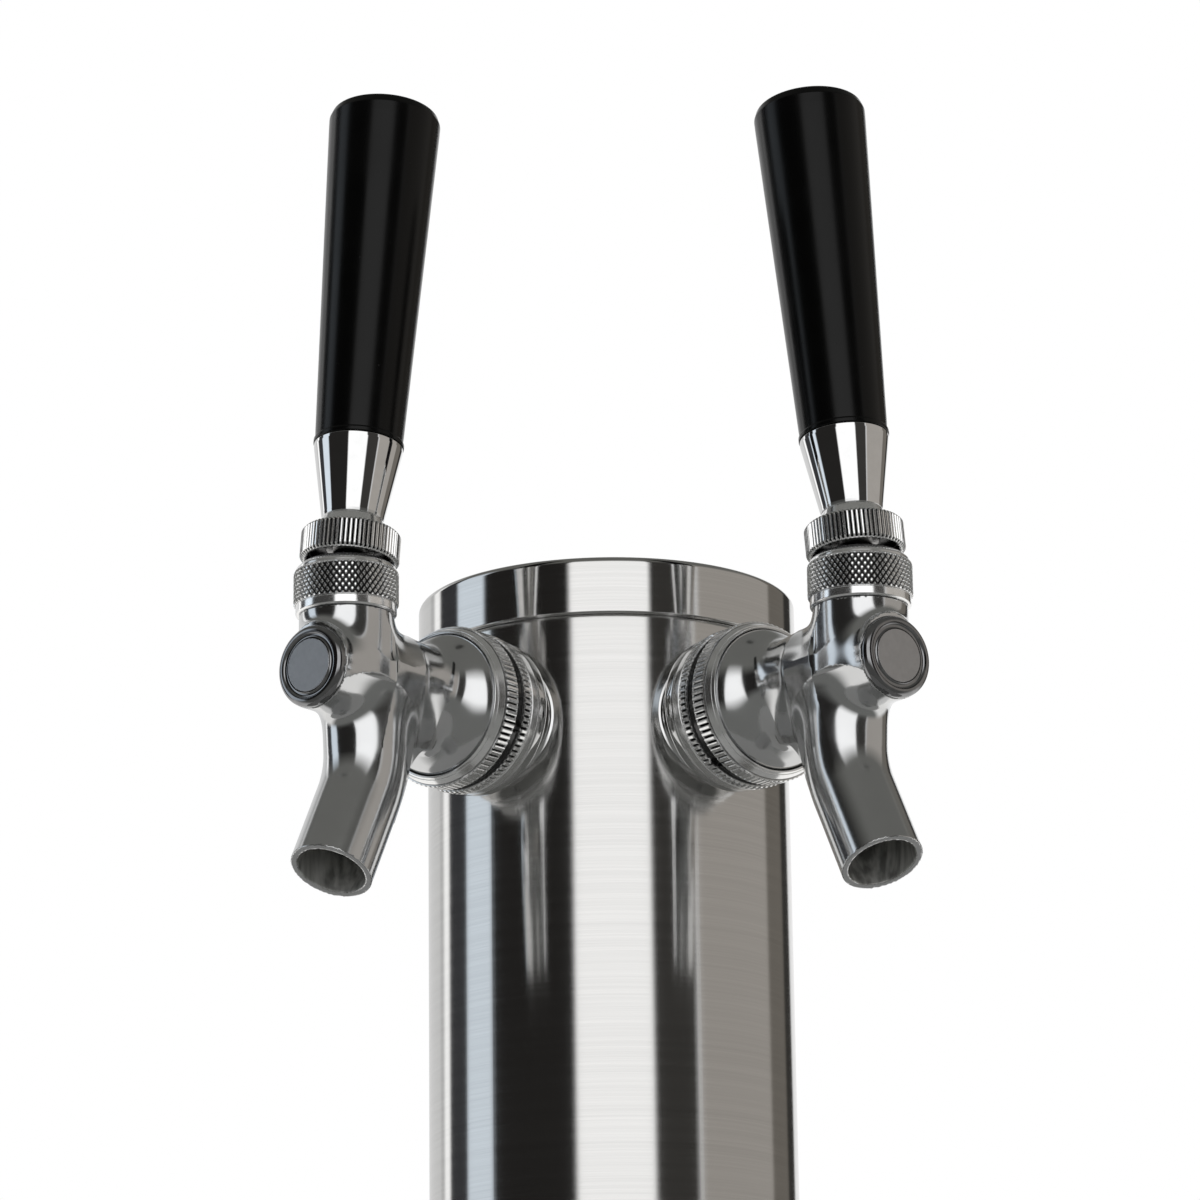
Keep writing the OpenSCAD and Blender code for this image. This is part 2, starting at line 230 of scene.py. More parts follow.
def layout(frame):
    """Where each faucet and each lever sits, by side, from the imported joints."""
    shanks, levers = {}, {}
    for side in SIDES:
        hinge = next(j for j in frame["joints"] if j["name"] == side + "_handle_pull")
        x, y, z = hinge["pos_m"]
        shanks[side] = Matrix.Translation((0, 0, z - PIVOT_Z * MM)) \
            @ Matrix.Rotation(math.atan2(y, x), 4, "Z")
        levers[side] = shanks[side] @ Matrix.Translation((math.hypot(x, y), 0, PIVOT_Z * MM)) \
            @ Matrix.Rotation(-LEAN, 4, "Y")
    return shanks, levers


def each_side(part, node, shape, spots, material, slot, body="tower", **options):
    """The same mesh on both faucets: the objects by side. A body other than the tower is a
    side's own."""
    made = {}
    for side in SIDES:
        rides = body if body == "tower" else side + "_" + body
        made[side] = piece(side + "_" + part, *shape, spots[side], material, rides,
                           side + "_" + node, slot, **options)
    return made


# ---------------------------------------------------------------- shader helpers

class Nodes:
    """Builds one node tree with short calls."""

    def __init__(self, tree):
        self.tree = tree
        tree.nodes.clear()

    def add(self, kind, inputs=(), **settings):
        node = self.tree.nodes.new(kind)
        for key, value in settings.items():
            setattr(node, key, value)
        for key, value in dict(inputs).items():
            self.put(node.inputs[key], value)
        return node

    def put(self, socket, value):
        if isinstance(value, bpy.types.NodeSocket):
            self.tree.links.new(value, socket)
        else:
            socket.default_value = value

    def math(self, op, a, b=0.0):
        return self.add("ShaderNodeMath", {0: a, 1: b}, operation=op).outputs[0]

    def length(self, a, b):
        return self.math("SQRT", self.math(
            "ADD", self.math("MULTIPLY", a, a), self.math("MULTIPLY", b, b)))

    def mix(self, factor, a, b):
        node = self.add("ShaderNodeMix", {0: factor, 6: a, 7: b}, data_type="RGBA")
        return node.outputs[2]

    def ramp(self, value, stops):
        node = self.add("ShaderNodeValToRGB", {0: value})
        ramp = node.color_ramp
        while len(ramp.elements) > 1:
            ramp.elements.remove(ramp.elements[-1])
        for i, (at, colour) in enumerate(stops):
            e = ramp.elements[0] if i == 0 else ramp.elements.new(at)
            e.position = at
            e.color = (*colour, 1)
        return node.outputs[0]

    def scale(self, value, low, high):
        """value from 0..1 to low..high"""
        return self.add("ShaderNodeMapRange", {0: value, 3: low, 4: high}).outputs[0]

    def between(self, value, low, high):
        """value from low..high to 0..1"""
        return self.add("ShaderNodeMapRange", {0: value, 1: low, 2: high}).outputs[0]

    def noise(self, vector, scale, detail=2.0, rough=0.5):
        return self.add("ShaderNodeTexNoise", {
            "Vector": vector, "Scale": scale, "Detail": detail, "Roughness": rough}).outputs[0]

    def stretch(self, vector, x, y, z):
        return self.add("ShaderNodeMapping", {"Vector": vector, "Scale": (x, y, z)}).outputs[0]

    def bump(self, height, strength, distance):
        return self.add("ShaderNodeBump", {
            "Height": height, "Strength": strength, "Distance": distance}).outputs[0]


def grey(v):
    return (v, v, v)


def surface(name, metallic, **sockets):
    """A material with one Principled shader: (material, nodes, shader, object coordinates)."""
    m = bpy.data.materials.new(name)
    m.use_nodes = True
    n = Nodes(m.node_tree)
    out = n.add("ShaderNodeOutputMaterial")
    shader = n.add("ShaderNodeBsdfPrincipled", {"Metallic": metallic})
    for key, value in sockets.items():
        shader.inputs[key.replace("_", " ")].default_value = value
    n.put(out.inputs[0], shader.outputs[0])
    coord = n.add("ShaderNodeTexCoord").outputs["Object"]
    return m, n, shader, coord


# ---------------------------------------------------------------- materials

def brushed_steel(name, colour, low, high, grain):
    """Steel with fine grain lines round Z. The lines spread reflections up and down."""
    m, n, shader, coord = surface(name, 1.0, Anisotropic=0.75, Anisotropic_Rotation=0.25)
    n.put(shader.inputs["Tangent"], n.add(
        "ShaderNodeTangent", direction_type="RADIAL", axis="Z").outputs[0])
    lines = n.noise(n.stretch(coord, 14, 14, 5200), 1.0, 3.0, 0.6)
    wide = n.noise(n.stretch(coord, 6, 6, 620), 1.0, 2.0, 0.5)
    cloud = n.noise(coord, 22, 2.0, 0.5)
    mixed = n.math("ADD", n.math("MULTIPLY", lines, 0.6), n.math("MULTIPLY", wide, 0.4))
    n.put(shader.inputs["Roughness"], n.scale(n.math(
        "ADD", n.math("MULTIPLY", mixed, 0.7), n.math("MULTIPLY", cloud, 0.3)), low, high))
    dim = tuple(c * 0.90 for c in colour)
    n.put(shader.inputs["Base Color"], n.ramp(mixed, [(0.32, dim), (0.62, colour)]))
    n.put(shader.inputs["Normal"], n.bump(mixed, grain, 0.00002))
    return m


def polished_cast(name, colour):
    """Buffed casting: a slightly wavy mirror with faint polishing marks."""
    m, n, shader, coord = surface(name, 1.0)
    wave = n.noise(coord, 160, 2.0, 0.5)
    marks = n.noise(n.stretch(coord, 400, 2600, 900), 1.0, 2.0, 0.6)
    n.put(shader.inputs["Roughness"], n.scale(n.math(
        "ADD", n.math("MULTIPLY", marks, 0.5), n.math("MULTIPLY", wave, 0.5)), 0.08, 0.19))
    n.put(shader.inputs["Base Color"], n.ramp(
        wave, [(0.3, tuple(c * 0.95 for c in colour)), (0.7, colour)]))
    n.put(shader.inputs["Normal"], n.bump(wave, 0.35, 0.00003))
    return m


def chrome(name, colour, low, high):
    """Plated metal with a faint haze that changes over the surface."""
    m, n, shader, coord = surface(name, 1.0)
    haze = n.noise(coord, 420, 3.0, 0.6)
    n.put(shader.inputs["Roughness"], n.scale(haze, low, high))
    n.put(shader.inputs["Base Color"], n.ramp(
        haze, [(0.3, tuple(c * 0.94 for c in colour)), (0.7, colour)]))
    n.put(shader.inputs["Normal"], n.bump(haze, 0.2, 0.00001))
    return m


def cast_wall(name):
    """The spout's inside: a dull cast wall with streaks that run down it. Their lighter colour is
    painted reflection; their roughness and bumps are the wall's.
    """
    m, n, shader, coord = surface(name, 0.35)
    streak = n.noise(n.stretch(coord, 700, 700, 40), 1.0, 2.0, 0.5)
    # lighter colour along the streaks: painted reflection
    n.put(shader.inputs["Base Color"], n.ramp(
        streak, [(0.35, (0.24, 0.24, 0.23)), (0.65, (0.6, 0.6, 0.58))]))
    n.put(shader.inputs["Roughness"], n.scale(streak, 0.35, 0.5))
    n.put(shader.inputs["Normal"], n.bump(streak, 0.3, 0.00005))
    return m


def knurled(name, root, crest, low, top):
    """Chrome round Z. Between the heights low and top, given in mm, its colour darkens from crests
    to roots as painted shade in the grooves.
    """
    m, n, shader, coord = surface(name, 0.92)
    x, y, z = n.add("ShaderNodeSeparateXYZ", {0: coord}).outputs
    haze = n.noise(coord, 900, 3.0, 0.6)
    # painted shade: 0 at the root radius, where the colour is darkest, rising to 1 at the crest
    # radius
    high = n.between(n.length(x, y), root * MM, crest * MM)
    plain = n.math("MAXIMUM", n.math("GREATER_THAN", z, top * MM),
                   n.math("LESS_THAN", z, low * MM))
    n.put(shader.inputs["Base Color"], n.ramp(
        n.math("ADD", n.math("MAXIMUM", high, plain), n.scale(haze, -0.08, 0.08)),
        [(0.0, grey(0.02)), (0.5, grey(0.12)), (1.0, grey(0.97))]))
    n.put(shader.inputs["Roughness"], n.scale(haze, 0.08, 0.22))
    n.put(shader.inputs["Normal"], n.bump(haze, 0.15, 0.00001))
    return m


def turned_face(name, colour, place):
    """Machined end face: tool rings on the flat, polished on the rounded rim. The two faucets
    mirror each other, so the distance from X = 0 gives one pattern for both."""
    m, n, shader, coord = surface(name, 1.0)
    x, y, z = n.add("ShaderNodeSeparateXYZ", {0: coord}).outputs
    mirror = n.add("ShaderNodeCombineXYZ", {0: n.math("ABSOLUTE", x), 1: y, 2: z})
    coord = n.add("ShaderNodeMapping", {
        "Vector": mirror.outputs[0], "Location": place.translation,
        "Rotation": place.to_euler()}, vector_type="TEXTURE").outputs[0]
    x, y, z = n.add("ShaderNodeSeparateXYZ", {0: coord}).outputs
    radius = n.length(y, z)
    tool = n.math("SINE", n.math("MULTIPLY", radius, 2 * math.pi / 0.00022))
    flat = n.math("LESS_THAN", radius, 5.32 * MM)
    cloud = n.noise(coord, 700, 3.0, 0.6)
    rough = n.math("ADD", n.math("MULTIPLY", flat, 0.3), n.scale(cloud, 0.03, 0.12))
    n.put(shader.inputs["Roughness"], rough)
    # The rounded rim gets a darker colour than the flat: painted shade where the rim reads dark.
    n.put(shader.inputs["Base Color"], n.ramp(
        n.math("ADD", n.math("MULTIPLY", cloud, 0.4), n.math("MULTIPLY", flat, 0.6)),
        [(0.1, tuple(c * 0.5 for c in colour)), (0.9, colour)]))
    n.put(shader.inputs["Normal"], n.bump(n.math("MULTIPLY", tool, flat), 0.25, 0.000008))
    return m


def gloss_black(name):
    """Moulded black plastic: deep gloss, light haze and a few specks of dust."""
    m, n, shader, coord = surface(name, 0.0, IOR=1.5, Specular_IOR_Level=0.22)
    haze = n.noise(coord, 70, 3.0, 0.55)
    speck = n.math("GREATER_THAN", n.noise(coord, 1500, 1.0, 0.5), 0.80)
    n.put(shader.inputs["Roughness"], n.math(
        "ADD", n.scale(haze, 0.16, 0.30), n.math("MULTIPLY", speck, 0.3)))
    n.put(shader.inputs["Base Color"], n.ramp(
        n.math("ADD", n.math("MULTIPLY", haze, 0.4), n.math("MULTIPLY", speck, 0.6)),
        [(0.1, grey(0.0015)), (0.4, grey(0.003)), (1.0, grey(0.02))]))
    n.put(shader.inputs["Normal"], n.bump(n.noise(coord, 350, 2.0, 0.5), 0.12, 0.00002))
    return m


def soft_matte(name, dark, light, rough, scale):
    """Rubber, nylon and foam: a mottled matte surface."""
    m, n, shader, coord = surface(name, 0.0)
    spots = n.noise(coord, scale, 4.0, 0.65)
    n.put(shader.inputs["Base Color"], n.ramp(spots, [(0.3, dark), (0.7, light)]))
    n.put(shader.inputs["Roughness"], n.scale(spots, rough - 0.1, rough + 0.1))
    n.put(shader.inputs["Normal"], n.bump(spots, 0.5, 0.0001))
    return m


def materials(shanks):
    steel = (0.66, 0.655, 0.645)
    return {
        "column_steel": brushed_steel("column_steel", steel, 0.05, 0.20, 0.5),
        "cap_steel": brushed_steel("cap_steel", steel, 0.04, 0.14, 0.3),
        "base_steel": brushed_steel("base_steel", steel, 0.10, 0.26, 0.6),
        "polished_steel": polished_cast("polished_steel", (0.68, 0.685, 0.69)),
        "plug_steel": turned_face("plug_steel", (0.50, 0.50, 0.51), shanks["right"]),
        "cast_bore": cast_wall("cast_bore"),
        "turned_steel": chrome("turned_steel", (0.58, 0.575, 0.57), 0.12, 0.28),
        "chrome_ring": chrome("chrome_ring", (0.72, 0.72, 0.72), 0.02, 0.08),
        # the three knurled materials paint shade into the roots of their teeth
        "nut_knurl": knurled("nut_knurl", 15.85, 16.4, 46.4, 54.6),
        "bonnet_knurl": knurled("bonnet_knurl", 9.85, 10.3, 14.3, 21.2),
        "collar_knurl": knurled("collar_knurl", 9.3, 9.8, 8.0, 13.8),
        "mirror_chrome": chrome("mirror_chrome", (0.80, 0.80, 0.80), 0.01, 0.06),
        "black_plastic": gloss_black("black_plastic"),
        "black_rubber": soft_matte("black_rubber", grey(0.012), grey(0.03), 0.6, 900),
        "foam": soft_matte("foam", grey(0.02), grey(0.06), 0.85, 1400),
        "white_nylon": soft_matte("white_nylon", grey(0.62), grey(0.72), 0.4, 600),
        "brass": chrome("brass", (0.72, 0.50, 0.22), 0.15, 0.3),
    }


# ---------------------------------------------------------------- column, cap, base

def column(mats, shanks):
    low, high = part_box("column_tube")
    r, bottom, top = high.x / MM, low.z / MM, high.z / MM
    inner = r - COLUMN_WALL
    points = outline([
        (r, bottom, 0.3), (r, top, 0.3), (inner, top, 0.3), (inner, bottom, 0.3)], 3)
    obj = piece("column", *revolve(points, 288), Matrix(), mats["column_steel"], "tower",
                "column_tube", "column_steel")
    hole = [(0, 20), (SHANK_HOLE_R, 20), (SHANK_HOLE_R, 48), (0, 48)]
    drill(obj, [(hole, shanks[side] @ ALONG_X) for side in SIDES])


def cap(mats):
    low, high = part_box("column_cap")
    r, bottom, top = high.x / MM, low.z / MM, high.z / MM
    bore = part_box("column_tube")[1].x / MM + 0.35
    under = top - CAP_PLATE
    points = outline([
        (0, top, 0), (0, under, 0), (bore, under, 0.4), (bore, bottom, 0.15),
        (r, bottom, 0.25), (r, top, 1.4)], 6)
    piece("cap", *revolve(points, 288), Matrix(), mats["cap_steel"], "cap",
          "column_cap", "cap_steel")


def base(mats):
    low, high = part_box("base_flange")
    r, bottom, top = high.x / MM, low.z / MM, high.z / MM
    column_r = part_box("column_tube")[1].x / MM
    socket, plate, ledge = column_r + SOCKET_WALL, bottom + BASE_PLATE, bottom + 3
    points = outline([
        (r, bottom, 0.3), (r, plate, 3), (socket, plate, 1.0), (socket, top, 0.8),
        (column_r, top, 0.3), (column_r, ledge, 0), (DUCT_R, ledge, 0.2),
        (DUCT_R, bottom, 0.2)], 6)
    obj = piece("base", *revolve(points, 288), Matrix(), mats["base_steel"], "tower",
                "base_flange", "base_steel")
    hole = [(0, 0), (SCREW_R, 0), (SCREW_R, plate - 0.6), (SCREW_MOUTH_R, plate + 0.1),
            (SCREW_MOUTH_R, 12), (0, 12)]
    drill(obj, [(hole, Matrix.Rotation(math.radians(a), 4, "Z")
                 @ Matrix.Translation((BOLT_CIRCLE_R * MM, 0, 0))) for a in (45, 135, 225, 315)])


# ---------------------------------------------------------------- faucet body

def blend_min(a, b, k):
    """Smooth union of two distances, rounded by about k where they meet."""
    h = np.maximum(1.5 * k - np.abs(a - b), 0) / (1.5 * k)
    return np.minimum(a, b) - h ** 3 * k / 4


def blend_max(a, b, k):
    return -blend_min(-a, -b, k)


def slab(value, low, high):
    """Distance to the layer between low and high."""
    return np.maximum(value - high, low - value)


def drop(y, z, top_r, low_r, fall):
    """Distance to a drop shape: a circle at the origin drawn out to a small one below it."""
    fall = np.maximum(fall, top_r - low_r + 0.01)
    y, z = np.abs(y), -z
    lean = (top_r - low_r) / fall
    flat = np.sqrt(1 - lean ** 2)
    along = z * flat - y * lean
    side = y * flat + z * lean - top_r
    return np.where(along < 0, np.hypot(y, z) - top_r,
                    np.where(along > flat * fall, np.hypot(y, z - fall) - low_r, side))


def dome_field(x, r):
    """Half an ellipsoid that closes the end of a cylinder."""
    ahead = np.maximum(x - DOME_BACK, 0)
    size = np.sqrt((ahead / DOME_H) ** 2 + (r / DOME_R) ** 2) + 1e-9
    slope = np.sqrt((ahead / DOME_H ** 2) ** 2 + (r / DOME_R ** 2) ** 2) + 1e-9
    return np.maximum(size * (size - 1) / slope, 52 - x)


def arm_field(x, y, z):
    """Arm from the dome to the neck. Its section is a drop that swells and rises towards the
    neck, and whose point follows the round edge of the web below it."""
    swell = np.clip((x - 57) / 13, 0, 1)
    swell = swell * swell * (3 - 2 * swell)
    edge_z = np.sqrt(WEB_R ** 2 - (np.clip(x, 58, 71.5) - WEB_X) ** 2) + WEB_Z
    rise, edge_r = 1.2 + 0.8 * swell, 0.9
    arm = drop(y, z - rise, 8.4 + 0.9 * swell, edge_r, rise + edge_r - edge_z)
    return np.maximum(arm, slab(x, 54, 80))


def spout_lines(x, z):
    """In-plane offset from the spout's centreline, and the length past the end of its bend."""
    centre_x = SPOUT_X + BEND_R
    angle = np.arctan2(BEND_Z - z, centre_x - x)
    bend = BEND_R - np.hypot(x - centre_x, z - BEND_Z)
    run_x = x - centre_x + BEND_R * math.cos(SPOUT_TILT)
    run_z = z - BEND_Z + BEND_R * math.sin(SPOUT_TILT)
    tip = run_x * math.cos(SPOUT_TILT) + run_z * math.sin(SPOUT_TILT)
    past = run_x * math.sin(SPOUT_TILT) - run_z * math.cos(SPOUT_TILT)
    straight = angle > SPOUT_TILT
    offset = np.where(z > BEND_Z, x - SPOUT_X, np.where(straight, tip, bend))
    return offset, np.where((z < BEND_Z) & straight, past, -1.0)


def spout_field(offset, past, y, z):
    """Bent rod, a little thicker towards the neck."""
    thick = SPOUT_R + 0.4 * np.clip((z + 16) / 11, 0, 1)
    return np.maximum(np.hypot(offset, y) - thick, np.maximum(past - SPOUT_TIP, z))


def fin_field(offset, past, y, z):
    """Thin fin on the spout's back, which dies away towards the outlet."""
    proud = np.interp(z, [-42, -32, -24, -18], [0.3, 0.6, 1.4, 1.9])
    fin = np.maximum(np.abs(y) - 0.7, slab(offset, -SPOUT_R - proud, -5))
    return np.maximum(fin, np.maximum(past - 14, z - BEND_Z))


def body_cuts(x, y, z, offset):
    """Chamber, seat, shaft bore and plug bore along X, the spout's bore, the two bores of the
    lever's ball, and the slot below them."""
    r, from_neck = np.hypot(y, z), np.hypot(x - PIVOT_X, y)
    slot = np.hypot(np.maximum(np.abs(x - 83.2) - 2.7, 0), y) - 3.3
    return [
        np.maximum(r - CHAMBER_R, x - CHAMBER_END), np.maximum(r - SEAT_R, x - SEAT_END),
        r - SHAFT_BORE_R, np.maximum(r - PLUG_BORE_R, PLUG_BORE_BACK - x),
        np.maximum(np.hypot(offset, y) - BORE_R, z),
        np.maximum(from_neck - BALL_BORE_R, NECK_TOP - z),
        np.maximum(from_neck - LEVER_BORE_R, LEVER_BORE_BOTTOM - z),
        np.maximum(slot, slab(z, 0, 10)),
    ]


def body_field(x, y, z):
    """Signed distance, roughly, to the faucet body in the faucet's own frame."""
    r, from_neck = np.hypot(y, z), np.hypot(x - PIVOT_X, y)
    offset, past = spout_lines(x, z)
    boss = np.maximum(r - BOSS_R, slab(x, 74, BOSS_FRONT))
    neck = np.maximum(from_neck - NECK_R, slab(z, -1, NECK_TOP))
    d = blend_min(neck, boss, 3.0)
    d = blend_min(d, spout_field(offset, past, y, z), 3.6)
    d = blend_min(d, arm_field(x, y, z), 4.2)
    d = blend_min(d, fin_field(offset, past, y, z), 0.6)
    d = blend_min(d, dome_field(x, r), 6.4)
    d = np.minimum(d, np.maximum(r - RIM_R, slab(x, 51, 53.5)))
    d = np.minimum(d, np.maximum(from_neck - THREAD_R, slab(z, 11, THREAD_TOP)))
    for cut in body_cuts(x, y, z, offset):
        d = blend_max(d, -cut, 0.35)
    return d


def net(field, lo, hi, step):
    """Surface net of field = 0 on a grid: vertices pulled onto the surface, faces, normals."""
    axes = [np.arange(a, b + step, step) for a, b in zip(lo, hi)]
    grid = np.meshgrid(*axes, indexing="ij")
    value = field(*grid)
    inside = value < 0
    shape = tuple(s - 1 for s in value.shape)

    def corner(a, i, j, k):
        return a[i:i + shape[0], j:j + shape[1], k:k + shape[2]]

    corners = [(i, j, k) for i in (0, 1) for j in (0, 1) for k in (0, 1)]
    count = sum(corner(inside, *c).astype(int) for c in corners)
    mixed = (count > 0) & (count < 8)
    index = np.full(shape, -1)
    index[mixed] = np.arange(int(mixed.sum()))
    cells = np.argwhere(mixed)
    total, number = np.zeros((len(cells), 3)), np.zeros(len(cells))
    for c in corners:
        for axis in range(3):
            if c[axis]:
                continue
            e = list(c)
            e[axis] = 1
            va, vb = corner(value, *c)[mixed], corner(value, *e)[mixed]
            cross = (va < 0) != (vb < 0)
            t = np.where(cross, va / np.where(cross, va - vb, 1), 0)
            point = np.array(c, float) + t[:, None] * (np.array(e) - np.array(c))
            total += np.where(cross[:, None], point, 0)
            number += cross
    p = (cells + total / number[:, None]) * step + np.array([a[0] for a in axes])

    def slope(q):
        h = 0.02
        g = [field(*(q + np.eye(3)[i] * h).T) - field(*(q - np.eye(3)[i] * h).T) for i in range(3)]
        return np.stack(g, 1) / (2 * h)

    for _ in range(4):
        g = slope(p)
        move = field(*p.T) / np.maximum((g ** 2).sum(1), 0.05)
        p = p - np.clip(move, -0.3 * step, 0.3 * step)[:, None] * g
    g = slope(p)
    normals = g / np.maximum(np.linalg.norm(g, axis=1, keepdims=True), 1e-9)

    faces = []
    for axis in range(3):
        b, c = (axis + 1) % 3, (axis + 2) % 3
        near = [slice(None)] * 3
        far = [slice(None)] * 3
        near[axis], far[axis] = slice(0, -1), slice(1, None)
        for s in (near, far):
            s[b], s[c] = slice(1, -1), slice(1, -1)
        a_in, b_in = inside[tuple(near)], inside[tuple(far)]
        where = np.argwhere(a_in != b_in)
        at = where + np.array([0 if i == axis else 1 for i in range(3)])
        out = a_in[tuple(where.T)]
        quad = []
        for db, dc in ((-1, -1), (0, -1), (0, 0), (-1, 0)):
            q = at.copy()
            q[:, b] += db
            q[:, c] += dc
            quad.append(index[tuple(q.T)])
        quad = np.stack(quad, 1)
        quad[~out] = quad[~out][:, ::-1]
        faces.append(quad)
    return p, np.concatenate(faces), normals


def faucet_bodies(mats, shanks):
    step = 0.36
    v, f, n = net(body_field, (50.4, -15.6, -45.6), (98.2, 15.6, 19.4), step)
    centre = v[f].mean(1)
    offset, past = spout_lines(centre[:, 0], centre[:, 2])
    bore = (np.hypot(offset, centre[:, 1]) < BORE_R + 0.2) & (centre[:, 2] < 0)
    bodies = each_side("body", "faucet_body", (v, f), shanks, mats["polished_steel"],
                       "polished_steel", normals=n, bake=True)
    for obj in bodies.values():
        obj.data.materials.append(mats["cast_bore"])
        obj.data.polygons.foreach_set("material_index", bore.astype(int))


# ---------------------------------------------------------------- knurled rings

def groove(t, land):
    """0 in the groove at whole numbers, 1 on the land between."""
    from_groove = 0.5 - np.abs(t - np.floor(t) - 0.5)
    return np.clip(from_groove / (0.5 - land / 2), 0, 1)


def within(h, low, high, run):
    """1 between the heights low and high, falling to 0 over the run inside each end."""
    return min(1, max(0, (high - h) / run)) * min(1, max(0, (h - low) / run))


def coupling_nuts(mats, shanks):
    """Nut with a band of long teeth, a band of short ones, and a spanner hole between them."""
    teeth = 82

    def wave(angle, r, h):
        if r < 16:
            return np.full(len(angle), r)
        t = angle * teeth / (2 * math.pi)
        front = 0.85 * within(h, 50.95, 54.45, 0.25) * (1 - groove(t, 0.58))
        back = 0.8 * within(h, 46.55, 48.75, 0.3) * (1 - groove(t + 0.3, 0.40))
        return r - front - back

    points = outline([
        (15.3, 44, 0), (16.45, 44, 0.5), (16.6, 46.35, 0.3), (16.2, 46.42, 0), (16.55, 46.6, 0),
        (16.7, 46.9, 0.2), (16.7, 48.4, 0.2), (16.55, 48.7, 0), (16.0, 48.85, 0.1),
        (16.0, 50.85, 0.1), (16.55, 51.0, 0), (16.7, 51.2, 0), (16.7, 54.2, 0),
        (16.5, 54.45, 0), (16.15, 54.55, 0.05), (16.15, 54.8, 0.1), (15.55, 56.0, 0.1),
        (15.45, 55.95, 0.05), (15.1, 56.75, 0.3), (14.75, 56.3, 0.15),
        (14.7, 53.5, 0), (15.3, 53.5, 0)], 3)
    points = rows(rows(points, 46.9, 48.4, 0.3), 51.2, 54.2, 0.4)
    spots = {side: shanks[side] @ ALONG_X for side in SIDES}
    nuts = each_side("nut", "coupling_nut", revolve(points, teeth * 10, wave), spots,
                     mats["nut_knurl"], "knurled_chrome", angle=30)
    hole = [(0, 14), (1.35, 14), (1.35, 18), (0, 18)]
    for side, tightened in (("left", -111), ("right", 144)):
        turn = Matrix.Rotation(math.radians(tightened), 4, "X")
        drill(nuts[side], [(hole, shanks[side] @ turn @ Matrix.Translation((49.85 * MM, 0, 0)))], 30)


def bonnets(mats, shanks):
    """Diamond-knurled ring: two sets of slanted grooves that cross."""
    around, row = 52, 1.7

    def wave(angle, r, h):
        if r < 10.3:
            return np.full(len(angle), r)
        t = angle * around / (2 * math.pi)
        diamond = np.minimum(groove(t + h / row, 0.42), groove(t - h / row, 0.42))
        return r - 0.65 * within(h, 14.35, 21.15, 0.3) * (1 - diamond)

    points = outline([
        (8.65, 12.35, 0), (10.1, 12.35, 0.45), (10.1, 14.1, 0.1), (9.95, 14.25, 0),
        (10.35, 14.4, 0), (10.5, 14.65, 0), (10.5, 20.9, 0), (10.35, 21.15, 0.1),
        (10.1, 21.35, 0.1), (9.95, 22.0, 0.8), (8.5, 23.2, 0.9), (7.2, 23.2, 0.3),
        (7.2, 20.45, 0), (8.65, 20.45, 0)], 4)
    points = rows(points, 14.65, 20.9, row / 12)
    spots = {side: Matrix.Translation(shanks[side] @ Vector((PIVOT_X * MM, 0, 0)))
             for side in SIDES}
    each_side("bonnet", "bonnet_nut", revolve(points, around * 12, wave), spots,
              mats["bonnet_knurl"], "knurled_chrome", angle=40)


def collars(mats, levers):
    """Straight-knurled collar with a cone on top."""
    teeth = 66

    def wave(angle, r, h):
        if r < 9.2:
            return np.full(len(angle), r)
        t = angle * teeth / (2 * math.pi)
        return r - 0.7 * (1 - groove(t, 0.35))

    points = outline([
        (9.0, 7.7, 0.2), (9.4, 7.7, 0.1), (10.0, 8.3, 0.15), (10.0, 13.4, 0.15),
        (9.4, 14.0, 0.1), (7.0, 14.0, 0.3), (6.3, 16.55, 0.1), (4.9, 16.55, 0),
        (4.9, 10.2, 0), (9.0, 10.2, 0.3)], 3)
    points = rows(points, 8.4, 13.3, 0.6)
    each_side("collar", "lever_collar", revolve(points, teeth * 8, wave), levers,
              mats["collar_knurl"], "knurled_chrome", "handle", angle=38)


# ---------------------------------------------------------------- plug, flange, ferrule, grip

def arc(r, h, wide, high, degrees):
    """Outline points on an ellipse round (r, h)."""
    return [(r + wide * math.cos(math.radians(a)), h + high * math.sin(math.radians(a)), 0)
            for a in degrees]


def plugs(mats, shanks):
    """Round plug: a rounded rim, a shallow ring inside it, and a flat."""
    rim = arc(6.85, 95.05, 1.45, 1.45, range(0, 91, 6))
    hollow = arc(6.05, 96.4, -0.68, -0.5, range(168, 11, -12))
    points = outline([
        (0, 90, 0), (6.4, 90, 0.4), (6.4, 94.55, 0), (8.25, 94.55, 0.1), *rim,
        *hollow, (5.3, 96.38, 0.05), (0, 96.38, 0)], 8)
    spots = {side: shanks[side] @ ALONG_X for side in SIDES}
    each_side("plug", "front_plug", revolve(points, 192), spots, mats["plug_steel"],
              "plug_steel", angle=40, bake=True)


def flanges(mats, shanks):
    """Trumpet-shaped ring: its narrow foot follows the column, its front is flat."""
    column_r, bore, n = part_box("column_tube")[1].x / MM, 11.15, 256
    angle = np.arange(n) * 2 * math.pi / n

    def ring(r, x=None, above=0.0):
        """Circle of radius r at x or, without x, lying on the column."""
        y, z = r * np.cos(angle), r * np.sin(angle)
        on_column = np.sqrt(column_r ** 2 - y ** 2) + above - 0.02
        return np.stack([on_column if x is None else np.full(n, x), y, z], 1)

    foot = [(13.5, 0.0), (13.15, 0.12), (12.9, 0.4), (12.8, 0.75)]
    sweep = [(12.95, 39.3), (13.4, 39.9), (14.2, 40.4), (15.2, 40.75), (15.85, 41.0), (16.15, 41.35),
             (16.2, 41.8), (16.2, 43.3), (16.05, 43.75), (15.7, 43.98), (bore, 43.98)]
    rings = [ring(r, above=up) for r, up in foot] + [ring(r, x) for r, x in sweep] + [ring(bore)]
    faces = []
    for j in range(len(rings)):
        a, b = j * n, (j + 1) % len(rings) * n
        for i in range(n):
            k = (i + 1) % n
            faces.append((a + i, a + k, b + k, b + i))
    each_side("flange", "shank_flange", (np.concatenate(rings), faces), shanks,
              mats["chrome_ring"], "chrome_ring", angle=50)


